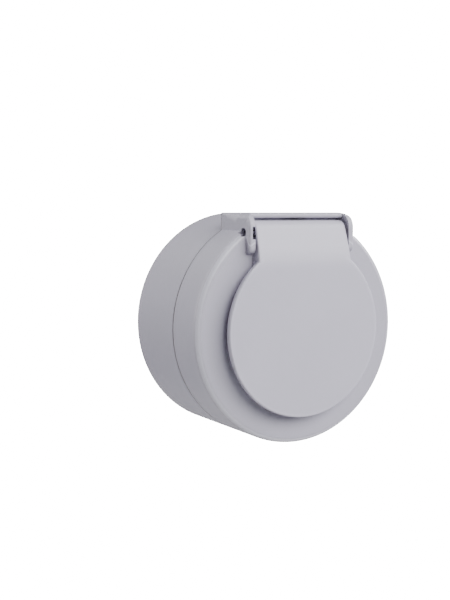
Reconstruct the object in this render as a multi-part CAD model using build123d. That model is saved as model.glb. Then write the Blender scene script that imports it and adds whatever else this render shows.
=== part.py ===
from build123d import *
import os
from math import cos, radians, sin, sqrt, tan

# Round surface-mounted power socket with a sprung hinged lid over a
# two-pin earthed well (type F, CEE 7/3 pattern). Lengths in millimetres.
# Each piece is drawn with X to the right, Y up and the third axis out of
# the wall, called depth below, and is turned at the end so that the wall
# face lies at Y 0, the front looks along -Y and Z is up.

# Plug well, from the sizes of a standard plug
well_r = 19.75
well_depth = 17.5
well_wall_t = 2.25
well_floor_t = 3.0
pin_length = 19.0
pin_spacing = 19.0
pin_hole_r = 2.75
pin_hole_chamfer = 0.5
guide_w = 5.4
guide_t = 2.55
rim_overlap = 2.4
rim_flange_t = 1.4
rim_rise = 1.9
rim_round = 0.4
insert_gap = 0.3

# Walls of rear housing and front cover
back_t = 3.0
wire_room = 4.0
chamber_floor_t = 1.5
pin_end_gap = 0.3
wall_t = 2.2
face_t = 2.5
body_margin = 9.3
cover_depth = 15.8
seam_line_w = 0.3
seam_line_depth = 0.6
edge_chamfer = 0.3
front_fillet = 2.0

# Spigot of the cover inside the housing, and the seam seal in its groove
spigot_t = 1.2
spigot_gap = 0.2
spigot_length = 2.5
seam_seal_w = 0.8
seam_seal_t = 1.2
seam_seal_inset = 0.3
seal_side_gap = 0.05

# Wall fixing holes
fix_edge_gap = 0.3
fix_hole_r = 2.25
fix_washer_r = 4.9
fix_washer_hole_r = 2.6
fix_washer_t = 1.5
fix_collar_t = 1.1
fix_collar_h = 2.2

# Cable entry through the back, and its grommet
entry_edge_gap = 1.8
grommet_bore_r = 4.0
grommet_neck_r = 5.8
grommet_flange_r = 7.0
grommet_flange_t = 1.1
grommet_inner_t = 1.5
grommet_recess = 1.2

# Earth strip with its two side clips
strip_w = 5.0
strip_t = 0.8
strip_sink = 4.8
clip_root_inset = 0.75
clip_touch_inset = 3.75
clip_bend_rise = 4.2
clip_touch_rise = 9.2
clip_tip_flare = 2.2
clip_tip_rise = 13.2
clip_slot_gap = 0.35

# Contact carrier behind the well
carrier_step = 1.0
chamber_gap = 0.5
lug_edge_gap = 4.3
lug_angle = 45.0
lug_w = 9.0
lug_t = 3.0
lug_rise = 5.0
post_r = 3.6

# Split contact tubes
tube_bore_r = 2.35
tube_t = 0.7
tube_front_gap = 0.5
tube_slit = 0.9
tab_w = 4.0
tab_t = 0.8

# Screw terminals
term_drop = 10.8
term_w = 7.0
term_sink = 10.8
term_h = 7.0
term_bar_t = 1.4
term_top_t = 2.0
term_side_t = 1.2
term_gap = 0.3
wire_hole_r = 1.7
earth_term_drop = 10.5
earth_plate_w = 4.8
earth_plate_t = 1.0

# Screws
term_screw_r = 1.45
term_screw_head_r = 2.3
term_screw_head_t = 1.6
centre_screw_r = 1.6
centre_screw_head_r = 3.0
centre_screw_head_t = 1.7
centre_screw_length = 12.0
lug_screw_r = 1.5
lug_screw_head_r = 2.8
lug_screw_head_t = 1.9
lug_screw_bite = 6.0
screw_gap = 0.05
screw_hole_gap = 0.2
driver_slot_w = 0.8
driver_slot_t = 0.7

# Hinge block, ears and roof on the cover
axis_sink = 1.4
axis_drop = 6.4
ear_outer_x = 19.9
ear_t = 2.15
ear_proud = 2.4
ear_drop = 6.6
ear_low_round = 2.0
ear_edge_round = 0.8
block_back_round = 0.4
block_front_round = 3.4
nose_r = 5.0
roof_t = 1.85
roof_set_back = 1.2
roof_round = 1.0
roof_low_round = 0.8
roof_back_reach = 2.5
pocket_r = 4.5
pocket_wall_t = 1.5
ear_slot_h = 3.9
ear_slot_t = 1.0
ear_slot_wall = 0.2

# Hinge pin and its spring
pin_r = 1.35
pin_gap = 0.05
pin_recess = 1.2
pin_mouth = 1.3
pin_mouth_r = 1.6
wire_r = 0.25
coil_r = 1.95
coil_turns = 6
coil_pitch = 0.9
leg_gap = 0.1
spring_room = 0.3
spring_hole_gap = 0.05
spring_hook = 1.6
elbow_extra = 0.01

# Lid
lid_rise = 4.35
lid_t = 1.4
lid_edge_r = 0.5
neck_gap = 0.3
neck_taper = 0.45
neck_corner_r = 0.5
neck_pocket_t = 1.6
neck_pocket_skin = 0.6
neck_tilt = 16.5
neck_bend_drop = 8.1
neck_bend_r = 25.0
barrel_r = 3.3
barrel_rise = 0.55
skirt_inset = 1.6
skirt_t = 1.4
skirt_gap = 0.3
collar_gap = 0.8
lid_seal_inset = 0.4
lid_seal_gap = 0.2

# Sizes that follow from the ones above, across the body
insert_r = well_r + well_wall_t
rim_flange_r = insert_r + rim_overlap
skirt_r = rim_flange_r + collar_gap + skirt_t
lid_r = skirt_r + skirt_inset
body_r = lid_r + body_margin
inner_r = body_r - wall_t
carrier_r = insert_r - carrier_step
pin_x = pin_spacing / 2
fix_x = inner_r - fix_washer_r - fix_collar_t - fix_edge_gap
entry_y = grommet_flange_r + entry_edge_gap - inner_r
lug_reach = inner_r - lug_w / 2 - lug_edge_gap
clip_root_y = well_r - clip_root_inset
clip_touch_y = well_r - clip_touch_inset
clip_tip_y = clip_touch_y + clip_tip_flare
term_y = -term_drop
earth_term_y = -earth_term_drop
guide_x = well_r - guide_t

# Sizes that follow, through the body's depth
chamber_back = back_t + wire_room
tube_back_depth = chamber_back + chamber_floor_t
well_floor = tube_back_depth + pin_end_gap + pin_length
rim_depth = well_floor + well_depth
front_depth = rim_depth - rim_rise
seam_depth = front_depth - cover_depth
insert_back = well_floor - well_floor_t
strip_depth = insert_back - strip_sink
clip_bend_depth = well_floor + clip_bend_rise
clip_touch_depth = well_floor + clip_touch_rise
clip_tip_depth = well_floor + clip_tip_rise
lug_depth = chamber_back + lug_rise
term_back_depth = insert_back - term_sink

# Sizes that follow, round the hinge and the lid
axis_depth = front_depth - axis_sink
axis_y = body_r - axis_drop
ear_inner_x = ear_outer_x - ear_t
ear_front_depth = front_depth + ear_proud
ear_low_y = axis_y - ear_drop
nose_back_depth = axis_depth - pocket_r - 2 * ear_edge_round
roof_y = body_r - roof_t
roof_back_depth = axis_depth - roof_back_reach
roof_front_depth = front_depth - roof_set_back
lid_front_depth = front_depth + lid_rise
lid_back_depth = lid_front_depth - lid_t
skirt_depth = front_depth + skirt_gap
lid_seal_out_r = skirt_r - skirt_t - lid_seal_inset
lid_seal_in_r = insert_r + lid_seal_inset
neck_root_x = ear_inner_x - neck_gap
neck_top_x = neck_root_x - neck_taper
neck_root_y = sqrt(lid_r ** 2 - neck_root_x ** 2)
cheek_low_y = sqrt((skirt_r - skirt_t / 2) ** 2 - neck_root_x ** 2)
neck_bend_y = axis_y - neck_bend_drop
spring_half = coil_turns * coil_pitch / 2 + wire_r + spring_room
tilt = radians(neck_tilt)
barrel_y = axis_y + barrel_rise
touch_y = barrel_y + barrel_r * sin(tilt)
touch_depth = lid_front_depth - (touch_y - neck_bend_y) * tan(tilt)
barrel_depth = touch_depth - barrel_r * cos(tilt)


def disc(r, near, far, x=0, y=0):
    """Round bar along the depth, from one depth to another."""
    return Pos(x, y, (near + far) / 2) * Cylinder(r, far - near)


def ring(r_out, r_in, near, far, x=0, y=0):
    """Flat ring between two depths."""
    return disc(r_out, near, far, x, y) - disc(r_in, near, far, x, y)


def block(x0, x1, y0, y1, near, far):
    """Box between two corners."""
    middle = Pos((x0 + x1) / 2, (y0 + y1) / 2, (near + far) / 2)
    return middle * Box(x1 - x0, y1 - y0, far - near)


def bar(r, x0, x1, y, depth):
    """Round bar along X."""
    return Pos((x0 + x1) / 2, y, depth) * Rot(0, 90, 0) * Cylinder(r, x1 - x0)


def side_prism(sketch, x0, x1):
    """Solid of a side view, drawn as (depth, y), between two values of X."""
    side = Plane(origin=(x1, 0, 0), x_dir=(0, 0, 1), z_dir=(-1, 0, 0))
    return extrude(side * sketch, x1 - x0)


def strip_outline(points, t):
    """Face of a bent strip whose middle line is the list of points."""
    left = []
    right = []
    for i, p in enumerate(points):
        before = points[max(i - 1, 0)]
        after = points[min(i + 1, len(points) - 1)]
        a = (Vector(*p) - Vector(*before)) if i else (Vector(*after) - Vector(*p))
        b = (Vector(*after) - Vector(*p)) if i < len(points) - 1 else a
        a = a.normalized()
        b = b.normalized()
        na = Vector(-a.Y, a.X)
        nb = Vector(-b.Y, b.X)
        across = (na + nb) * (t / 2 / (1 + na.dot(nb)))
        left.append((p[0] + across.X, p[1] + across.Y))
        right.append((p[0] - across.X, p[1] - across.Y))
    return make_face(Polyline(*left, *reversed(right), close=True))


def slotted_screw(r, head_r, head_t, length, x, y, seat):
    """Cheese-head screw pointing at the wall, its head seated at a depth."""
    screw = disc(r, seat - length, seat, x, y) + disc(head_r, seat, seat + head_t, x, y)
    top = seat + head_t
    cut = block(x - head_r, x + head_r, y - driver_slot_w / 2, y + driver_slot_w / 2,
                top - driver_slot_t, top)
    return screw - cut


def lug_points():
    """Places of the two carrier lugs, opposite each other on a slant."""
    x = lug_reach * cos(radians(lug_angle))
    y = lug_reach * sin(radians(lug_angle))
    return [(x, y), (-x, -y)]


# Housing side

def rear_housing():
    shell = disc(body_r, 0, seam_depth - seam_line_w)
    shell = chamfer(shell.edges().filter_by(GeomType.CIRCLE).sort_by(Axis.Z)[0], edge_chamfer)
    shell += disc(body_r - seam_line_depth, 0, seam_depth)
    shell -= disc(inner_r, back_t, seam_depth)
    groove_in = inner_r + seam_seal_inset - seal_side_gap
    groove_out = inner_r + seam_seal_inset + seam_seal_w + seal_side_gap
    shell -= ring(groove_out, groove_in, seam_depth - seam_seal_t, seam_depth)
    for x, y in lug_points():
        shell += disc(post_r, back_t, lug_depth, x, y)
        shell -= disc(lug_screw_r + screw_gap, back_t, lug_depth, x, y)
    for x in (-fix_x, fix_x):
        collar_r = fix_washer_r + fix_collar_t
        shell += ring(collar_r, fix_washer_r + seal_side_gap, back_t, back_t + fix_collar_h, x)
        shell -= disc(fix_hole_r, 0, back_t, x)
    shell -= disc(grommet_neck_r + seal_side_gap, 0, back_t, 0, entry_y)
    shell -= disc(grommet_flange_r + seal_side_gap, 0, grommet_recess, 0, entry_y)
    return shell


def cable_grommet():
    flange = disc(grommet_flange_r, grommet_recess - grommet_flange_t, grommet_recess, 0, entry_y)
    neck = disc(grommet_neck_r, grommet_recess, back_t, 0, entry_y)
    inner = disc(grommet_flange_r, back_t, back_t + grommet_inner_t, 0, entry_y)
    grommet = flange + neck + inner
    low = grommet_recess - grommet_flange_t
    return grommet - disc(grommet_bore_r, low, back_t + grommet_inner_t, 0, entry_y)


def seam_seal():
    inside = inner_r + seam_seal_inset
    return ring(inside + seam_seal_w, inside, seam_depth - seam_seal_t, seam_depth)


def fixing_washer(x):
    return ring(fix_washer_r, fix_washer_hole_r, back_t, back_t + fix_washer_t, x)


# Front cover with the hinge block, ears and roof

def nose_outline():
    corner = Polyline(
        (nose_back_depth, ear_low_y),
        (ear_front_depth, ear_low_y),
        (ear_front_depth, body_r),
        (nose_back_depth, body_r),
        close=True,
    )
    face = make_face(corner)
    tips = face.vertices().sort_by(Axis.X)[-2:].sort_by(Axis.Y)
    face = fillet(tips[1], nose_r)
    tips = face.vertices().sort_by(Axis.Y)[:2].sort_by(Axis.X)
    return fillet(tips[1], ear_low_round)


def block_view(corner_r):
    """Front view of the hinge block, with its two upper corners rounded."""
    view = Pos(0, (ear_low_y + body_r) / 2) * Rectangle(2 * ear_outer_x, body_r - ear_low_y)
    return fillet(view.vertices().group_by(Axis.Y)[-1], corner_r)


def hinge_block():
    back = Pos(0, 0, seam_depth) * block_view(block_back_round)
    start = axis_depth - pocket_r
    front = Pos(0, 0, start) * block_view(block_front_round)
    lump = loft([back, front], ruled=True)
    nose = side_prism(nose_outline(), -ear_outer_x, ear_outer_x)
    ends = nose.faces().filter_by(Axis.X)
    nose = fillet([e for f in ends for e in f.edges()], ear_edge_round)
    nose &= extrude(Pos(0, 0, start) * block_view(block_front_round), ear_front_depth - start)
    return lump + nose


def roof_corner(r, centre_y, end_y):
    """What a rounded front edge of the roof leaves free."""
    low, high = sorted((centre_y, end_y))
    start = roof_front_depth - r
    corner = block(-ear_inner_x, ear_inner_x, low, high, start, roof_front_depth)
    return corner - bar(r, -ear_outer_x, ear_outer_x, centre_y, start)


def lid_room():
    """Space between the ears in which the lid's barrel turns."""
    room = bar(pocket_r, -ear_inner_x, ear_inner_x, axis_y, axis_depth)
    ahead = ear_front_depth + nose_r
    room += block(-ear_inner_x, ear_inner_x, axis_y, roof_y, roof_back_depth, ahead)
    room += block(-ear_inner_x, ear_inner_x, ear_low_y - nose_r, roof_y, front_depth, ahead)
    over = block(-ear_inner_x, ear_inner_x, roof_y, body_r + roof_t, roof_front_depth, ahead)
    over += roof_corner(roof_round, body_r - roof_round, body_r + roof_t)
    over += roof_corner(roof_low_round, roof_y + roof_low_round, roof_y)
    return room + over


def ear_cuts():
    """Pin bore, its wider mouths, and the slot in each ear's inner face.

    The pin goes in from the right, so only that mouth runs out to the side.
    """
    cuts = bar(pin_r + pin_gap, -ear_outer_x, ear_outer_x, axis_y, axis_depth)
    end = ear_outer_x - pin_recess
    cuts += bar(pin_mouth_r, -ear_outer_x - pin_mouth, -end, axis_y, axis_depth)
    cuts += bar(pin_mouth_r, end, body_r, axis_y, axis_depth)
    slot_back = axis_depth + pin_r + pin_gap + ear_slot_wall
    for side in (-1, 1):
        x0, x1 = sorted((side * (ear_inner_x - ear_slot_t), side * (ear_inner_x + ear_slot_t)))
        cuts += block(x0, x1, axis_y - ear_slot_h / 2, axis_y + ear_slot_h / 2,
                      slot_back, ear_front_depth + nose_r)
    return cuts


def front_cover():
    drum = disc(body_r, seam_depth, front_depth)
    edges = drum.edges().filter_by(GeomType.CIRCLE).sort_by(Axis.Z)
    drum = fillet(edges[-1], front_fillet)
    edges = drum.edges().filter_by(GeomType.CIRCLE).sort_by(Axis.Z)
    drum = chamfer(edges[0], seam_line_w / 2)
    solid = drum + hinge_block()
    solid -= disc(inner_r, seam_depth, front_depth - face_t)
    trough = bar(pocket_r + pocket_wall_t, -ear_outer_x, ear_outer_x, axis_y, axis_depth)
    trough &= block(-ear_outer_x, ear_outer_x, 0, roof_y, seam_depth, front_depth)
    solid += trough
    solid -= lid_room()
    solid -= ear_cuts()
    spigot_out = inner_r - spigot_gap
    spigot = ring(spigot_out, spigot_out - spigot_t, seam_depth - spigot_length, seam_depth)
    spigot += ring(inner_r + wall_t / 4, spigot_out - spigot_t,
                   seam_depth, seam_depth + spigot_length)
    solid += spigot
    solid -= disc(insert_r + insert_gap, front_depth - face_t, front_depth)
    return solid


# Plug well

def clip_path():
    """Middle line of one half of the earth strip, as (y, depth)."""
    mid = strip_depth + strip_t / 2
    return [
        (clip_root_y, mid),
        (clip_root_y, clip_bend_depth),
        (clip_touch_y + strip_t / 2, clip_touch_depth),
        (clip_tip_y, clip_tip_depth),
    ]


def socket_insert():
    cup = disc(insert_r, insert_back, rim_depth)
    cup += disc(rim_flange_r, rim_depth - rim_flange_t, rim_depth)
    rim = cup.edges().filter_by(GeomType.CIRCLE).sort_by(Axis.Z)[-1]
    cup = fillet(rim, rim_round)
    cup -= disc(well_r, well_floor, rim_depth)
    guides = block(-insert_r, insert_r, -guide_w / 2, guide_w / 2, well_floor, rim_depth - rim_round)
    guides -= block(-guide_x, guide_x, -guide_w, guide_w, well_floor, rim_depth)
    guides &= disc((well_r + insert_r) / 2, well_floor, rim_depth)
    cup += guides
    half = strip_w / 2 + clip_slot_gap
    far = clip_root_y + strip_t / 2 + clip_slot_gap
    for side in (-1, 1):
        y0, y1 = sorted((side * (clip_touch_y - clip_slot_gap), side * far))
        cup -= block(-half, half, y0, y1, insert_back, well_floor)
        y0, y1 = sorted((side * clip_touch_y, side * far))
        cup -= block(-half, half, y0, y1, well_floor, clip_tip_depth + 2 * strip_t)
    for x in (-pin_x, pin_x):
        cup -= disc(pin_hole_r, insert_back, well_floor, x)
        mouth = Pos(x, 0, well_floor - pin_hole_chamfer / 2)
        cup -= mouth * Cone(pin_hole_r, pin_hole_r + pin_hole_chamfer, pin_hole_chamfer)
    cup -= disc(centre_screw_r + screw_hole_gap, insert_back, well_floor)
    head = centre_screw_head_r + screw_hole_gap
    cup -= disc(head, well_floor - centre_screw_head_t - screw_hole_gap, well_floor)
    return cup


def insert_seal():
    outer = rim_flange_r - insert_gap
    return ring(outer, insert_r + insert_gap, front_depth, rim_depth - rim_flange_t)


# Carrier, contacts and terminals

def contact_carrier():
    core = disc(carrier_r, chamber_back, insert_back)
    for x, y in lug_points():
        arm = Rot(0, 0, lug_angle) * block(0, lug_reach, -lug_w / 2, lug_w / 2,
                                           lug_depth, lug_depth + lug_t)
        if x < 0:
            arm = Rot(0, 0, 180) * arm
        core += arm
        core += disc(lug_w / 2, lug_depth, lug_depth + lug_t, x, y)
    channel = strip_w / 2 + clip_slot_gap
    core -= block(-channel, channel, -carrier_r, carrier_r, strip_depth, insert_back)
    chamber_r = tube_bore_r + tube_t + chamber_gap
    room = term_w / 2 + term_gap
    neck = tab_w / 2 + term_gap
    tab_back = term_back_depth + term_bar_t
    for x in (-pin_x, pin_x):
        core -= disc(chamber_r, tube_back_depth, insert_back, x)
        core -= block(x - room, x + room, term_y - room, term_y + room,
                      term_back_depth, insert_back)
        core -= block(x - neck, x + neck, term_y, 0, tab_back, insert_back)
        wire = Pos(x, (term_y - carrier_r) / 2, tab_back + tab_t + wire_hole_r)
        core -= wire * Rot(90, 0, 0) * Cylinder(wire_hole_r, carrier_r + term_y)
    core -= disc(centre_screw_r + screw_gap, chamber_back, strip_depth)
    core -= disc(term_screw_r + screw_hole_gap, chamber_back, strip_depth, 0, earth_term_y)
    for x, y in lug_points():
        core -= disc(lug_screw_r + screw_hole_gap, lug_depth, lug_depth + lug_t, x, y)
    return core


def pin_contact(x):
    front = insert_back - tube_front_gap
    outer = tube_bore_r + tube_t
    tab_back = term_back_depth + term_bar_t
    contact = disc(outer, tube_back_depth, front, x)
    contact += block(x - tab_w / 2, x + tab_w / 2, term_y - term_w / 2, 0,
                     tab_back, tab_back + tab_t)
    contact -= disc(tube_bore_r, tube_back_depth, front, x)
    contact -= block(x - tube_slit / 2, x + tube_slit / 2, 0, outer, tube_back_depth, front)
    return contact


def terminal_clamp(x):
    half = term_w / 2
    far = term_back_depth + term_h
    clamp = block(x - half, x + half, term_y - half, term_y + half, term_back_depth, far)
    inner = half - term_side_t
    clamp -= block(x - inner, x + inner, term_y - half, term_y + half,
                   term_back_depth + term_bar_t, far - term_top_t)
    return clamp - disc(term_screw_r + screw_gap, far - term_top_t, far, x, term_y)


def terminal_screw(x):
    far = term_back_depth + term_h
    reach = term_top_t + term_screw_head_t
    return slotted_screw(term_screw_r, term_screw_head_r, term_screw_head_t, reach,
                         x, term_y, far + screw_hole_gap)


def earth_strip():
    half = [(0, strip_depth + strip_t / 2)] + clip_path()
    side = Plane(origin=(-strip_w / 2, 0, 0), x_dir=(0, 1, 0), z_dir=(1, 0, 0))
    arm = extrude(side * strip_outline(half, strip_t), strip_w)
    strip = arm + mirror(arm, Plane.XZ)
    strip -= disc(centre_screw_r + screw_hole_gap, strip_depth, strip_depth + strip_t)
    return strip - disc(term_screw_r + screw_gap, strip_depth, strip_depth + strip_t,
                        0, earth_term_y)


def earth_clamp():
    half = earth_plate_w / 2
    near = strip_depth + strip_t
    plate = block(-half, half, earth_term_y - half, earth_term_y + half,
                  near, near + earth_plate_t)
    return plate - disc(term_screw_r + screw_gap, near, near + earth_plate_t, 0, earth_term_y)


def earth_screw():
    seat = strip_depth + strip_t + earth_plate_t
    return slotted_screw(term_screw_r, term_screw_head_r, term_screw_head_t,
                         seat - strip_depth + strip_t, 0, earth_term_y, seat)


def centre_screw():
    seat = well_floor - centre_screw_head_t - screw_hole_gap
    return slotted_screw(centre_screw_r, centre_screw_head_r, centre_screw_head_t,
                         centre_screw_length, 0, 0, seat)


def carrier_screw(x, y):
    return slotted_screw(lug_screw_r, lug_screw_head_r, lug_screw_head_t,
                         lug_t + lug_screw_bite, x, y, lug_depth + lug_t)


# Hinge pin, spring and lid

def hinge_pin():
    end = ear_outer_x - pin_recess
    return bar(pin_r, -end, end, axis_y, axis_depth)


def spring_leg_length():
    """Length of the straight leg that bears on the cover's trough."""
    reach = pocket_r - wire_r - leg_gap
    return sqrt(reach ** 2 - coil_r ** 2)


def lid_spring():
    height = coil_turns * coil_pitch
    coil_line = Helix(coil_pitch, height, coil_r)
    start = coil_line @ 0
    along = coil_line % 0
    coil = sweep(Plane(origin=start, z_dir=along) * Circle(wire_r), path=coil_line)
    end = coil_line @ 1
    leg = Plane(origin=start, z_dir=-along) * Circle(wire_r)
    spring = coil + extrude(leg, spring_leg_length())
    spring += Pos(end.X, end.Y, end.Z) * Sphere(wire_r + elbow_extra)
    hook = Pos(end.X, end.Y, end.Z + spring_hook / 2) * Cylinder(wire_r, spring_hook)
    spring += hook
    return Pos(-height / 2, axis_y, axis_depth) * Rot(0, 90, 0) * spring


def spring_hook_hole():
    near = coil_turns * coil_pitch / 2
    r = wire_r + spring_hole_gap
    return bar(r, near, near + spring_hook + 2 * spring_hole_gap, axis_y, axis_depth - coil_r)


def lid_side_region():
    """Side view of all that lies under the lid's outer surface."""
    deep = axis_depth - pocket_r
    low = -lid_r - lid_t
    path = FilletPolyline(
        (lid_front_depth, low),
        (lid_front_depth, neck_bend_y),
        (touch_depth, touch_y),
        radius=neck_bend_r,
    )
    back = Polyline(
        (touch_depth, touch_y),
        (barrel_depth, barrel_y),
        (deep, barrel_y),
        (deep, low),
        (lid_front_depth, low),
    )
    face = make_face(path.edges() + back.edges())
    return face + Pos(barrel_depth, barrel_y) * Circle(barrel_r)


def lid_sheet_region():
    """Side view of the lid's bent sheet."""
    low = -lid_r - lid_t
    outer = FilletPolyline(
        (lid_front_depth, low),
        (lid_front_depth, neck_bend_y),
        (touch_depth, touch_y),
        radius=neck_bend_r,
    )
    end = (touch_depth - lid_t * cos(tilt), touch_y - lid_t * sin(tilt))
    bend = (lid_back_depth, neck_bend_y - lid_t * tan(tilt / 2))
    inner = FilletPolyline(end, bend, (lid_back_depth, low), radius=neck_bend_r - lid_t)
    joins = Line((touch_depth, touch_y), end).edges()
    joins += Line((lid_back_depth, low), (lid_front_depth, low)).edges()
    return make_face(outer.edges() + inner.edges() + joins)


def lid_outline():
    """Front view of the lid: a disc with a neck up to the hinge."""
    slope = (neck_root_x - neck_top_x) / (barrel_y + barrel_r - neck_root_y)
    high = body_r
    low = 0
    top_x = neck_root_x - slope * (high - neck_root_y)
    low_x = neck_root_x + slope * (neck_root_y - low)
    neck = make_face(Polyline(
        (-low_x, low), (low_x, low), (top_x, high), (-top_x, high), close=True))
    shape = Circle(lid_r) + neck
    corners = [v for v in shape.vertices() if abs(abs(v.X) - neck_root_x) < 1 and v.Y < high - 1]
    return fillet(corners, neck_corner_r)


def neck_pockets():
    """Pocket in each side of the neck, beside the slot in the ear."""
    low = axis_y - ear_slot_h / 2
    high = axis_y + ear_slot_h / 2
    skin = neck_pocket_skin / cos(tilt)
    view = make_face(Polyline(
        (axis_depth, low),
        (touch_depth + (touch_y - low) * tan(tilt) - skin, low),
        (touch_depth + (touch_y - high) * tan(tilt) - skin, high),
        (axis_depth, high),
        close=True))
    cuts = side_prism(view, neck_root_x - neck_pocket_t, ear_inner_x)
    return cuts + side_prism(view, -ear_inner_x, neck_pocket_t - neck_root_x)


def lid():
    deep = axis_depth - pocket_r
    prism = extrude(Pos(0, 0, deep) * lid_outline(), lid_front_depth + lid_t - deep)
    under = side_prism(lid_side_region(), -lid_r, lid_r)
    whole = prism & under
    front = [
        f for f in whole.faces()
        if f.center().Z > axis_depth and abs(f.normal_at().X) < 0.01
        and (f.geom_type != GeomType.PLANE or f.normal_at().Z > 0.9)
        and f.normal_at().Z > 0.2 and f.bounding_box().size.X > neck_top_x
    ]
    rim = [
        e for f in front for e in f.edges()
        if not (e.geom_type == GeomType.LINE and abs((e % 0.5).X) > 0.99)
    ]
    whole = fillet(rim, lid_edge_r)
    sheet = side_prism(lid_sheet_region(), -lid_r, lid_r)
    body = whole & sheet
    skirt = ring(skirt_r, skirt_r - skirt_t, skirt_depth, lid_front_depth)
    body += skirt & whole
    for side in (-1, 1):
        x0, x1 = sorted((side * (neck_root_x - skirt_t), side * neck_root_x))
        cheek = block(x0, x1, cheek_low_y, barrel_y, skirt_depth, lid_front_depth)
        body += cheek & whole
    body += whole & bar(barrel_r, -lid_r, lid_r, barrel_y, barrel_depth)
    body -= disc(skirt_r - skirt_t, skirt_depth - skirt_gap, lid_back_depth)
    body -= bar(pin_r + pin_gap, -lid_r, lid_r, axis_y, axis_depth)
    body -= bar(coil_r + wire_r + spring_room, -spring_half, spring_half, axis_y, axis_depth)
    body -= block(-spring_half, spring_half, axis_y - pocket_r, axis_y + pocket_r,
                  deep - barrel_r, axis_depth)
    body -= neck_pockets()
    return body - spring_hook_hole()


def lid_seal():
    return ring(lid_seal_out_r, lid_seal_in_r, rim_depth + lid_seal_gap, lid_back_depth)


def pieces():
    (ax, ay), (bx, by) = lug_points()
    return {
        "rear_housing": rear_housing(),
        "cable_grommet": cable_grommet(),
        "seam_seal": seam_seal(),
        "fixing_washer_left": fixing_washer(-fix_x),
        "fixing_washer_right": fixing_washer(fix_x),
        "front_cover": front_cover(),
        "socket_insert": socket_insert(),
        "insert_seal": insert_seal(),
        "contact_carrier": contact_carrier(),
        "line_contact": pin_contact(-pin_x),
        "neutral_contact": pin_contact(pin_x),
        "earth_strip": earth_strip(),
        "line_clamp": terminal_clamp(-pin_x),
        "neutral_clamp": terminal_clamp(pin_x),
        "earth_clamp": earth_clamp(),
        "line_screw": terminal_screw(-pin_x),
        "neutral_screw": terminal_screw(pin_x),
        "earth_screw": earth_screw(),
        "centre_screw": centre_screw(),
        "carrier_screw_upper": carrier_screw(ax, ay),
        "carrier_screw_lower": carrier_screw(bx, by),
        "hinge_pin": hinge_pin(),
        "lid_spring": lid_spring(),
        "lid": lid(),
        "lid_seal": lid_seal(),
    }


os.makedirs("parts", exist_ok=True)
for name, shape in pieces().items():
    export_step(Rot(90, 0, 0) * shape, f"parts/{name}.step")
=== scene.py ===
# %% [markdown]
# # A round power socket with a hinged lid
#
# The object is a surface socket for a damp place. A grey plastic housing
# stands on the wall, a cover closes it in front, and a sprung lid keeps
# splashes off the plug well. The parts arrive here as a finished assembly
# in metres: X runs to the right, Y into the wall and Z up. This script
# gives them their finishes, light and camera, and adds what is easier to
# make with Blender's own tools than in CAD.

# %% Load the assembly
import math

import bmesh
import bpy
from mathutils import Matrix, Vector


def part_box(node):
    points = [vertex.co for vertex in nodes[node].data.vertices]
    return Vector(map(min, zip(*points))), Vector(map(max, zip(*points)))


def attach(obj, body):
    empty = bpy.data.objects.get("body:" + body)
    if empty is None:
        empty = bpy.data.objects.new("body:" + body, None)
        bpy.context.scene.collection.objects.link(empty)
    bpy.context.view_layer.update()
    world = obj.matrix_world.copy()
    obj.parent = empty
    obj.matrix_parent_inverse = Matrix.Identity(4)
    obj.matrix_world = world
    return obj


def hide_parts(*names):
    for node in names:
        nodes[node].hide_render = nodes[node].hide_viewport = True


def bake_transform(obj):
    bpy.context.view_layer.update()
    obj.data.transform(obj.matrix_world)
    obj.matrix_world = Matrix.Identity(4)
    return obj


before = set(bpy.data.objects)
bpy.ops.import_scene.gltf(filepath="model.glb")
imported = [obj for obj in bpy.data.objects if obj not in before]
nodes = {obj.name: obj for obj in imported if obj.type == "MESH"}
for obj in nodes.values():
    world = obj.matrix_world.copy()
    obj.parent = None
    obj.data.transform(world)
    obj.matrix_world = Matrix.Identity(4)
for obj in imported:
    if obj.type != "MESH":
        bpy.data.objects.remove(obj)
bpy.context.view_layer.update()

print("pieces in the assembly:", len(nodes))

# %% [markdown]
# ## Camera
#
# The photograph looks at the socket from its left and a little from above.
# Its edges fit one camera: 366 mm from the middle of the wall face, turned
# 29.6 degrees to the left and 5.9 degrees up. The socket sits a little off
# the middle of the picture, so the lens is shifted, not turned. Lamps and
# camera face the same way, so they share the helper that turns them.

# %% Place the camera
MM = 0.001
VIEW_TURN = math.radians(-29.58)
VIEW_RISE = math.radians(5.885)
VIEW_DISTANCE = 366.1 * MM
LENS_MM = 60.95
SENSOR_MM = 36.0
SHIFT_X = -0.0124
SHIFT_Y = 0.0282


def direction(turn, rise):
    """Unit vector from the object towards a viewer."""
    flat = math.cos(rise)
    return Vector((math.sin(turn) * flat, -math.cos(turn) * flat, math.sin(rise)))


def put_in_scene(name, data):
    """A new object that carries this lens, lamp or mesh."""
    made = bpy.data.objects.new(name, data)
    bpy.context.scene.collection.objects.link(made)
    return made


def face_socket(viewer, spot):
    """Stand a camera or a lamp at a spot and turn it to the socket."""
    turned = spot.to_track_quat("Z", "Y").to_matrix().to_4x4()
    viewer.matrix_world = Matrix.Translation(spot) @ turned


lens = bpy.data.cameras.new("camera")
lens.lens = LENS_MM
lens.sensor_width = SENSOR_MM
lens.shift_x = SHIFT_X
lens.shift_y = SHIFT_Y
lens.clip_start = 10 * MM
camera = put_in_scene("camera", lens)
eye = direction(VIEW_TURN, VIEW_RISE) * VIEW_DISTANCE
face_socket(camera, eye)
bpy.context.scene.camera = camera
print("camera at", [round(v, 4) for v in eye])

# %% [markdown]
# ## Shader maths as Python expressions
#
# A finish is a chain of small sums, such as a base value plus a noise times
# a strength. Drawing each sum as a node by hand hides the idea, so one small
# class wraps a node's socket and lets Python's operators add the nodes.
# A second class holds a node tree, and all nodes come from its one method.

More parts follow.
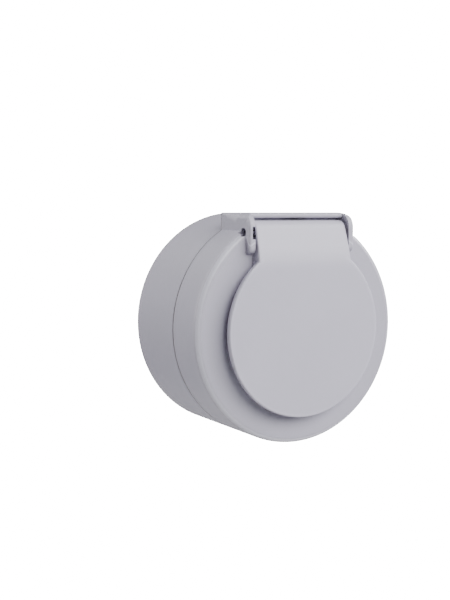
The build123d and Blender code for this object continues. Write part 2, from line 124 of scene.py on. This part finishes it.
# %% Wrap a socket and a node tree
class Wire:
    """A socket whose sums with numbers or other wires become Math nodes."""

    def __init__(self, tree, socket):
        self.tree = tree
        self.socket = socket

    def math(self, operation, *values):
        return self.tree.node("ShaderNodeMath", {"operation": operation}, values)

    def __add__(self, other):
        return self.math("ADD", self, other)

    def __sub__(self, other):
        return self.math("SUBTRACT", self, other)

    def __rsub__(self, other):
        return self.math("SUBTRACT", other, self)

    def __mul__(self, other):
        return self.math("MULTIPLY", self, other)

    def root(self):
        return self.math("SQRT", self)

    def size(self):
        """The value without its sign."""
        return self.math("ABSOLUTE", self)

    __radd__ = __add__
    __rmul__ = __mul__


class NodeTree:
    """The nodes of a material or a sky."""

    def __init__(self, owner):
        owner.use_nodes = True
        self.nodes = owner.node_tree.nodes
        self.links = owner.node_tree.links

    def give(self, socket, value):
        """Link a wire to a socket, or set a plain value on it."""
        if isinstance(value, Wire):
            self.links.new(value.socket, socket)
        else:
            socket.default_value = value

    def node(self, kind, settings=None, values=(), out=0):
        """Add a node, set it up, fill its sockets and return one output."""
        made = self.nodes.new(kind)
        for key, value in (settings or {}).items():
            setattr(made, key, value)
        given = values.items() if isinstance(values, dict) else enumerate(values)
        for key, value in given:
            self.give(made.inputs[key], value)
        return Wire(self, made.outputs[out])


print("operators: + - *, also with a number on the left")

# %% [markdown]
# ## What every finish is made of
#
# The patterns read the place on the piece in Object coordinates, so a
# grain of 0.2 mm is 0.2 mm on every piece. A ramp turns a length into a
# mask from 0 to 1, a band is a ramp up and a ramp down, and a mark lays
# painted shade, a painted highlight or wear over the colour and the
# roughness wherever its mask is 1.

# %% Wrap a material
MIX_FIRST, MIX_SECOND, MIX_RESULT = 6, 7, 2  # a Mix node's colour sockets


class Finish(NodeTree):
    """A material whose colour and roughness are built up step by step."""

    def __init__(self, name, **surface):
        self.material = bpy.data.materials.new(name)
        super().__init__(self.material)
        self.shader = self.nodes["Principled BSDF"]
        for socket, value in surface.items():
            self.feed(socket.title(), value)

    def feed(self, socket, value):
        self.give(self.shader.inputs[socket], value)

    def place(self):
        """The place on the piece, in metres."""
        return self.node("ShaderNodeTexCoord", out="Object")

    def along(self, letter):
        """The place on the piece along X, Y or Z, in millimetres."""
        part = self.node("ShaderNodeSeparateXYZ", values=[self.place()], out=letter)
        return part * (1 / MM)

    def from_axis(self):
        """The distance from the round body's axis, in millimetres."""
        x, z = self.along("X"), self.along("Z")
        return (x * x + z * z).root()

    def ramp(self, wire, low, high):
        """0 below the low value and 1 above the high one, smooth between."""
        values = {"Value": wire, "From Min": low, "From Max": high}
        return self.node("ShaderNodeMapRange", {"interpolation_type": "SMOOTHSTEP"}, values)

    def band(self, wire, rise, fall):
        """1 between a ramp up and a ramp down, 0 outside them."""
        return self.ramp(wire, *rise) * (1.0 - self.ramp(wire, *fall))

    def noise(self, size_mm, detail=2.0):
        """Noise from 0 to 1 whose lumps are about this many millimetres."""
        values = {"Vector": self.place(), "Scale": 1 / (size_mm * MM), "Detail": detail}
        return self.node("ShaderNodeTexNoise", values=values)

    def patchy(self, size_mm, least, more):
        """A strength that wanders in patches of this size."""
        return least + self.noise(size_mm) * more

    def blend(self, factor, first, second):
        """One colour going over into another."""
        first, second = (colour if isinstance(colour, Wire) else (*colour, 1.0)
                         for colour in (first, second))
        values = {"Factor": factor, MIX_FIRST: first, MIX_SECOND: second}
        return self.node("ShaderNodeMix", {"data_type": "RGBA"}, values, MIX_RESULT)

    def mark(self, mask, colour, rougher):
        """Lay painted shade, a painted highlight or wear over the finish where the mask is
        1.
        """
        self.colour = self.blend(mask, self.colour, colour)
        self.rough = self.rough + mask * rougher

    def bump(self, height, depth_mm):
        values = {"Height": height, "Distance": depth_mm * MM}
        self.feed("Normal", self.node("ShaderNodeBump", values=values))

    def done(self):
        """Feed colour and roughness to the shader and hand the material over."""
        self.feed("Base Color", self.colour)
        self.feed("Roughness", self.rough)
        return self.material


def shade(colour, share):
    """A colour times a share, so darker below 1 and lighter above."""
    return tuple(min(1.0, part * share) for part in colour)


print("a finish offers:", [word for word in vars(Finish) if not word.startswith("_")])

# %% [markdown]
# ## Moulded plastic
#
# The housing, cover and lid are one light grey with a trace of lilac. A
# moulded part like this has a spark-eroded surface: grains of a few tenths
# of a millimetre that turn gloss into satin. The grain goes into the bump,
# a slower cloud moves the roughness, and the colour drifts by a few percent.

# %% Plain moulded plastic
GRAIN_MM = 0.22
GRAIN_DEPTH = 0.006
WAVE_MM = 2.6
WAVE_SHARE = 0.8
SPECK_MM = 0.5
CLOUD_MM = 14.0
CLOUD_SHARE = 0.7
DARKEST = 0.965
PALEST = 1.03


def moulded_plastic(name, colour, roughness):
    """Plastic as it leaves the mould, before wear, painted shade and painted highlights."""
    finish = Finish(name, roughness=roughness)
    cloud = finish.noise(CLOUD_MM, detail=3.0)
    speck = finish.noise(SPECK_MM, detail=1.0)
    drift = cloud * CLOUD_SHARE + speck * (1 - CLOUD_SHARE)
    finish.colour = finish.blend(drift, shade(colour, DARKEST), shade(colour, PALEST))
    finish.rough = roughness - 0.05 + cloud * 0.07 + speck * 0.03
    finish.bump(finish.noise(GRAIN_MM) + finish.noise(WAVE_MM) * WAVE_SHARE, GRAIN_DEPTH)
    return finish


print("grain", GRAIN_MM, "mm wide and", GRAIN_DEPTH, "mm high")

# %% [markdown]
# ## Painted shade in the seam
#
# A thin dark line of painted shade lies along the seam between housing and
# cover, where shade falls into the gap. The seam lies at one depth, so the
# mask is the distance from that depth along Y. The line's strength wanders:
# patches are given by their size, their least strength and what the noise adds.

# %% Painted shade in the seam
SEAM_SHADE = (0.30, 0.29, 0.32)
SEAM_SHADE_W = 0.6
SEAM_ROUGHER = 0.2
SEAM_SHADE_PATCHES = 3.0, 0.75, 0.4


def painted_seam_shade(finish, depth):
    """Thin dark line of painted shade where the cover meets the housing."""
    away = (0.0 - finish.along("Y") - depth).size()
    dust_and_seam_shade = 1.0 - finish.ramp(away, SEAM_SHADE_W * 0.4, SEAM_SHADE_W)
    # The dark colour laid here is painted shade in the seam.
    finish.mark(dust_and_seam_shade * finish.patchy(*SEAM_SHADE_PATCHES), SEAM_SHADE, SEAM_ROUGHER)


print("seam line", SEAM_SHADE_W, "mm")

# %% [markdown]
# ## The cover's polished edge and painted highlight
#
# Hands and cloths polish the cover's rounded front edge, which is paler and
# glossier. Seen from a slant, that edge is the crest of the round body: one
# weighted sum of the distance from the axis and the depth is largest there,
# so that sum finds it. Part of the paleness stands for the line of light
# that the photograph has on this edge. The ears and the hinge block stand
# out past the round body, so the line ends where the body's radius does.

# %% Polished edge and painted highlight of the cover
EDGE_ROUND = 2.0
EDGE_LEAN = math.radians(50)
EDGE_LINE = (-0.24, -0.04), (0.06, 0.2)
EDGE_WEAR_AND_HIGHLIGHT = (0.69, 0.68, 0.78)
EDGE_ROUGHER = -0.22
EDGE_PATCHES = 5.0, 0.8, 0.3
FADE = 0.1


def worn_edge_and_painted_highlight(finish, radius, depth):
    """Pale, glossy line of wear and painted highlight on the cover's rounded edge, leaning
    to its face.
    """
    out, front = math.cos(EDGE_LEAN), math.sin(EDGE_LEAN)
    crest = (radius - EDGE_ROUND) * out + (depth - EDGE_ROUND) * front + EDGE_ROUND
    far = finish.from_axis()
    below = far * out - finish.along("Y") * front - crest
    on_body = 1.0 - finish.ramp(far, radius, radius + FADE)
    line = finish.band(below, *EDGE_LINE) * on_body
    # The pale colour laid here is partly wear and partly a painted highlight.
    finish.mark(line * finish.patchy(*EDGE_PATCHES), EDGE_WEAR_AND_HIGHLIGHT, EDGE_ROUGHER)


print("cover edge round", EDGE_ROUND, "mm, polished line at", EDGE_LINE)

# %% [markdown]
# ## The lid's painted rim highlight
#
# A narrow band at the lid's rim is painted a little paler and made a little
# glossier: a painted highlight along the rim's rounded edge. The neck runs over
# the rim at the top without an edge, so the band is left out between the
# neck's two sides.

# %% Painted highlight on the lid's rim
RIM_W = 1.3
RIM_HIGHLIGHT_PAINT = (0.61, 0.59, 0.70)
RIM_ROUGHER = -0.06
RIM_PATCHES = 6.0, 0.8, 0.3
NECK_HALF = 16.0
NECK_SIDE_FADE = 1.0
NECK_LOW = 18.0
NECK_LOW_FADE = 2.0


def rim_painted_highlight(finish, radius):
    """Paler band just inside the lid's edge, a painted highlight, left out where the neck
    joins.
    """
    inner = radius - RIM_W
    rise, fall = (inner, inner + RIM_W / 2), (radius, radius + FADE)
    rim = finish.band(finish.from_axis(), rise, fall)
    beside = finish.ramp(finish.along("X").size(), NECK_HALF - NECK_SIDE_FADE, NECK_HALF)
    above = finish.ramp(finish.along("Z"), NECK_LOW, NECK_LOW + NECK_LOW_FADE)
    rim = rim * (1.0 - above * (1.0 - beside))
    # The pale colour laid here is a painted highlight on the rim.
    finish.mark(rim * finish.patchy(*RIM_PATCHES), RIM_HIGHLIGHT_PAINT, RIM_ROUGHER)


print("rubbed rim", RIM_W, "mm, neck left out over", 2 * NECK_HALF, "mm")

# %% [markdown]
# ## The three plastics
#
# Housing and cover share one grey. The lid is paler and smoother in the
# photograph, and the well behind it is the plain plastic without wear. How
# large the body and the lid are is read from the pieces' own boxes.

# %% Finishes for the plastic pieces
BODY_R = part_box("rear_housing")[1][0] / MM
SEAM_DEPTH = -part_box("rear_housing")[0][1] / MM
LID_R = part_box("lid")[1][0] / MM
FACE_DEPTH = 43.4
HOUSING_GREY = (0.487, 0.471, 0.559)
LID_GREY = (0.570, 0.551, 0.653)
WELL_GREY = (0.50, 0.49, 0.565)
HOUSING_ROUGH = 0.46
LID_ROUGH = 0.38
WELL_ROUGH = 0.5

housing = moulded_plastic("housing_plastic", HOUSING_GREY, HOUSING_ROUGH)
painted_seam_shade(housing, SEAM_DEPTH)
worn_edge_and_painted_highlight(housing, BODY_R, FACE_DEPTH)
housing_plastic = housing.done()

lid_finish = moulded_plastic("lid_plastic", LID_GREY, LID_ROUGH)
rim_painted_highlight(lid_finish, LID_R)
lid_plastic = lid_finish.done()

well_plastic = moulded_plastic("well_plastic", WELL_GREY, WELL_ROUGH).done()
print("body radius", round(BODY_R, 2), "seam", round(SEAM_DEPTH, 2), "lid", round(LID_R, 2))

# %% [markdown]
# ## Rubber
#
# Seals and grommet are black rubber with a dull, slightly dusty skin. The
# dust is a cloud that lifts the black a little and roughens it.

# %% Finish for the rubber pieces
RUBBER_BLACK = (0.018, 0.018, 0.020)
RUBBER_DUSTY = (0.040, 0.040, 0.042)
RUBBER_ROUGH = 0.62
RUBBER_DUST_MM = 3.0
RUBBER_GRAIN_MM = 0.3
RUBBER_GRAIN_DEPTH = 0.01

rubber = Finish("seal_rubber", roughness=RUBBER_ROUGH)
dust_and_seam_shade = rubber.noise(RUBBER_DUST_MM, detail=4.0)
rubber.colour = rubber.blend(dust_and_seam_shade, RUBBER_BLACK, RUBBER_DUSTY)
rubber.rough = RUBBER_ROUGH + dust_and_seam_shade * 0.2
rubber.bump(rubber.noise(RUBBER_GRAIN_MM), RUBBER_GRAIN_DEPTH)
seal_rubber = rubber.done()
print("rubber finish:", seal_rubber.name)

# %% [markdown]
# ## Metal
#
# The contacts are brass with the long marks of the rolled strip they are
# cut from; the earth strip is nickel plated, the screws zinc plated and the
# hinge pin and spring stainless. The marks are a noise drawn out along one
# axis, so a Mapping node shrinks it across and stretches it along.

# %% Finishes for the metal pieces
LINES_PER_METRE = 4000.0
BREAKS_PER_METRE = 150.0
LINE_DEPTH = 0.004
STAIN_MM = 2.5
STAINED = 0.82


def drawn_metal(name, colour, roughness, axis):
    """Metal with fine marks along one axis and a faint stain."""
    finish = Finish(name, metallic=1.0)
    stretch = [LINES_PER_METRE] * 3
    stretch["XYZ".index(axis)] = BREAKS_PER_METRE
    drawn = finish.node("ShaderNodeMapping", values={"Vector": finish.place(),
                                                     "Scale": stretch})
    lines = finish.node("ShaderNodeTexNoise", values={"Vector": drawn, "Scale": 1.0,
                                                      "Detail": 2.0})
    stain = finish.noise(STAIN_MM, detail=3.0)
    finish.colour = finish.blend(stain, shade(colour, STAINED), colour)
    finish.rough = roughness + lines * 0.14 + stain * 0.06
    finish.bump(lines, LINE_DEPTH)
    return finish.done()


BRASS = (0.80, 0.60, 0.30)
NICKEL = (0.72, 0.69, 0.62)
ZINC = (0.70, 0.71, 0.72)
STAINLESS = (0.50, 0.50, 0.51)
contact_brass = drawn_metal("contact_brass", BRASS, 0.20, "Y")
plated_strip = drawn_metal("plated_strip", NICKEL, 0.22, "Z")
zinc_steel = drawn_metal("zinc_steel", ZINC, 0.26, "Y")
pin_steel = drawn_metal("pin_steel", STAINLESS, 0.24, "X")
print("finishes so far:", [material.name for material in bpy.data.materials])

# %% [markdown]
# ## The lid spring
#
# One piece of wire shuts the lid: a leg that bears on the cover, six turns
# round the pin, and a hook that enters the lid. A circle travels along that
# line. It is drawn out for the leg, spun with a small step sideways for the
# coil, spun again for the elbow and drawn out for the hook. The piece
# replaces the CAD spring, which is hidden.

# %% Helpers that lead a ring along a line
def edges_of(parts):
    return [part for part in parts if isinstance(part, bmesh.types.BMEdge)]


def draw_out(shape, ring, way):
    """Lengthen a tube by moving a copy of its end ring."""
    made = bmesh.ops.extrude_edge_only(shape, edges=ring)["geom"]
    moved = [part for part in made if isinstance(part, bmesh.types.BMVert)]
    bmesh.ops.translate(shape, verts=moved, vec=way)
    return edges_of(made)


def turn_round(shape, ring, centre, axis, angle, steps, slide=(0, 0, 0)):
    """Carry the end ring round an axis, sliding a little with each step."""
    made = bmesh.ops.spin(shape, geom=ring, cent=centre, axis=axis, angle=angle,
                          steps=steps, dvec=slide, use_merge=False, use_duplicate=False)
    return edges_of(made["geom_last"])


def close_end(shape, ring):
    bmesh.ops.edgeloop_fill(shape, edges=ring)


def piece_from(shape, name, material):
    """Scale a shape in millimetres to metres and put it in the scene."""
    bmesh.ops.recalc_face_normals(shape, faces=shape.faces)
    bmesh.ops.scale(shape, verts=shape.verts, vec=(MM, MM, MM))
    for face in shape.faces:
        face.smooth = True
    mesh = bpy.data.meshes.new(name)
    shape.to_mesh(mesh)
    shape.free()
    mesh.materials.append(material)
    return put_in_scene(name, mesh)


print("ready to draw wire")

# %% [markdown]
# The sizes follow the CAD spring, so the leg ends at the cover and the hook
# in its hole in the lid. The leg leans by the coil's pitch, so it runs into
# the first turn without a kink, and the coil stops short of its last turn
# by the elbow's width.

# %% Wire spring
WIRE_R = 0.25
WIRE_SIDES = 16
COIL_R = 1.95
TURNS = 6
PITCH = 0.9
TURN_STEPS = 24
LEG = 3.6
HOOK = 1.25
ELBOW_R = 0.35
ELBOW_STEPS = 6
HINGE = Vector((0.0, -42.0, 31.1))

wire = bmesh.new()
bmesh.ops.create_circle(wire, cap_ends=False, segments=WIRE_SIDES, radius=WIRE_R)
half = TURNS * PITCH / 2
leg = Vector((PITCH / (2 * math.pi * COIL_R), 0, 1)) * LEG
first_turn = HINGE + Vector((-half, COIL_R, 0))
bmesh.ops.translate(wire, verts=wire.verts, vec=first_turn - leg)
ring = list(wire.edges)
close_end(wire, ring)
ring = draw_out(wire, ring, leg)

early = ELBOW_R / COIL_R
coil_angle = TURNS * 2 * math.pi - early
coil_steps = TURNS * TURN_STEPS
slide = (2 * half / coil_steps, 0, 0)
ring = turn_round(wire, ring, HINGE, (1, 0, 0), coil_angle, coil_steps, slide)

middle = sum((vert.co for edge in ring for vert in edge.verts), Vector()) / (2 * len(ring))
elbow = middle + Vector((ELBOW_R, 0, 0))
bend_axis = Vector((0, math.cos(early), -math.sin(early)))
ring = turn_round(wire, ring, elbow, bend_axis, math.pi / 2, ELBOW_STEPS)
ring = draw_out(wire, ring, (HOOK, 0, 0))
close_end(wire, ring)

print("spring faces:", len(wire.faces))
spring = piece_from(wire, "wound_spring", pin_steel)
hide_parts("lid_spring")
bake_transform(spring)

# %% [markdown]
# ## The lid's sealing ring
#
# The CAD ring has sharp edges. The real one is a moulded lip that is round
# where it meets the rim, so a flat rectangle is spun about the lid's axis
# and a bevel rounds its edges.

# %% Rubber lip
SEAL_W = 2.4
SEAL_ROUND = 0.32
SEAL_ROUND_STEPS = 4
SEAL_STEPS = 128
seal_low, seal_high = (Vector(corner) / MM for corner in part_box("lid_seal"))
thick = seal_high.y - seal_low.y
section_middle = (seal_high.x - SEAL_W / 2, (seal_high.y + seal_low.y) / 2, 0)

lip = bmesh.new()
bmesh.ops.create_grid(lip, x_segments=1, y_segments=1, size=0.5)
bmesh.ops.scale(lip, verts=lip.verts, vec=(SEAL_W, thick, 1))
bmesh.ops.translate(lip, verts=lip.verts, vec=section_middle)
bmesh.ops.delete(lip, geom=list(lip.faces), context="FACES_ONLY")
bmesh.ops.spin(lip, geom=list(lip.edges), cent=(0, 0, 0), axis=(0, 1, 0), angle=2 * math.pi,
               steps=SEAL_STEPS, use_merge=True, use_duplicate=False)
print("seal section", SEAL_W, "by", round(thick, 2), "mm, faces", len(lip.faces))

seal = piece_from(lip, "sealing_lip", seal_rubber)
rounding = seal.modifiers.new("round", "BEVEL")
rounding.affect = "EDGES"
rounding.width = SEAL_ROUND * MM
rounding.segments = SEAL_ROUND_STEPS
rounding.profile = 0.5
rounding.material = -1
rounding.limit_method = "ANGLE"
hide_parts("lid_seal")
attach(seal, "lid")

# %% [markdown]
# ## Which piece is made of what
#
# The CAD pieces keep their meshes. Each gets the finish of what it is made
# of on the real socket, so the table below is also its list of materials.

# %% Give each piece its finish
finishes = {
    housing_plastic: ["rear_housing", "front_cover"],
    lid_plastic: ["lid"],
    well_plastic: ["socket_insert", "contact_carrier"],
    seal_rubber: ["cable_grommet", "seam_seal", "fixing_washer_left",
                  "fixing_washer_right", "insert_seal", "lid_seal"],
    contact_brass: ["line_contact", "neutral_contact", "line_clamp", "neutral_clamp"],
    plated_strip: ["earth_strip"],
    zinc_steel: ["earth_clamp", "line_screw", "neutral_screw", "earth_screw",
                 "centre_screw", "carrier_screw_upper", "carrier_screw_lower"],
    pin_steel: ["hinge_pin", "lid_spring"],
}
for material, names in finishes.items():
    for name in names:
        nodes[name].data.materials.clear()
        nodes[name].data.materials.append(material)
print("pieces with a finish:", sum(len(names) for names in finishes.values()))

# %% [markdown]
# ## Floor
#
# The socket hangs on a wall that the picture doesn't show, so nothing
# stands behind it. A pale floor lies well below, outside the picture.

# %% Floor
FLOOR_R = 500.0
FLOOR_SIDES = 96
FLOOR_DROP = 340.0
FLOOR_CLOUD_MM = 60.0
FLOOR_GREY = (0.78, 0.78, 0.78)
FLOOR_PALE = (0.82, 0.82, 0.82)

paint = Finish("floor_paint", roughness=0.8)
paint.feed("Base Color", paint.blend(paint.noise(FLOOR_CLOUD_MM), FLOOR_GREY, FLOOR_PALE))
disc = bmesh.new()
bmesh.ops.create_circle(disc, cap_ends=True, segments=FLOOR_SIDES, radius=FLOOR_R)
bmesh.ops.translate(disc, verts=disc.verts, vec=(0, 0, -FLOOR_DROP))
floor = piece_from(disc, "floor", paint.material)
print("floor at", round(min(vert.co.z for vert in floor.data.vertices), 3))

# %% [markdown]
# ## Sky
#
# The picture's ground is plain white, but a white sky would light the grey
# from all sides and flatten it. So the sky is almost dark for the socket,
# and only the camera's own rays see the bright backdrop.

# %% Sky
WHITE = (1.0, 1.0, 1.0, 1.0)
EVEN_LIGHT = 0.008
BACKDROP = 22.0
sky = bpy.data.worlds.new("studio")
bpy.context.scene.world = sky
studio = NodeTree(sky)
studio.nodes.remove(studio.nodes["Background"])
even, backdrop = (studio.node("ShaderNodeBackground", values=[WHITE, strength])
                  for strength in (EVEN_LIGHT, BACKDROP))
to_camera = studio.node("ShaderNodeLightPath", out="Is Camera Ray")
seen = studio.node("ShaderNodeMixShader", values=[to_camera, even, backdrop])
studio.give(studio.nodes["World Output"].inputs["Surface"], seen)
print("sky nodes:", [node.bl_label for node in studio.nodes])

# %% [markdown]
# ## Lamps
#
# The light is a studio's, with four soft round lamps. The key on the right throws
# the lid's shadow on its left, and a smaller one in front softens it. The
# other two stand behind the cover's plane on the left. They light the side
# wall and leave the face and the gap beside the lid alone, so that gap stays
# a dark line.

# %% Lamps
LAMPS = [  # name, turn and rise in degrees, distance and width in metres, watts
    ("key_lamp", 55, 29, 1.5, 1.4, 31.0),
    ("front_lamp", 4, 29, 0.6, 0.45, 3.35),
    ("wall_lamp", -119, 19, 1.5, 0.9, 16.8),
    ("rear_lamp", -150, 45, 1.5, 0.9, 8.8),
]
for name, turn, rise, distance, width, watts in LAMPS:
    light = bpy.data.lights.new(name, "AREA")
    light.shape = "DISK"
    light.size = width
    light.energy = watts
    spot = direction(math.radians(turn), math.radians(rise)) * distance
    face_socket(put_in_scene(name, light), spot)
print("lamps:", [row[0] for row in LAMPS])

# %% [markdown]
# ## Close
#
# The new spring and lip lie inside the assembly's own box.
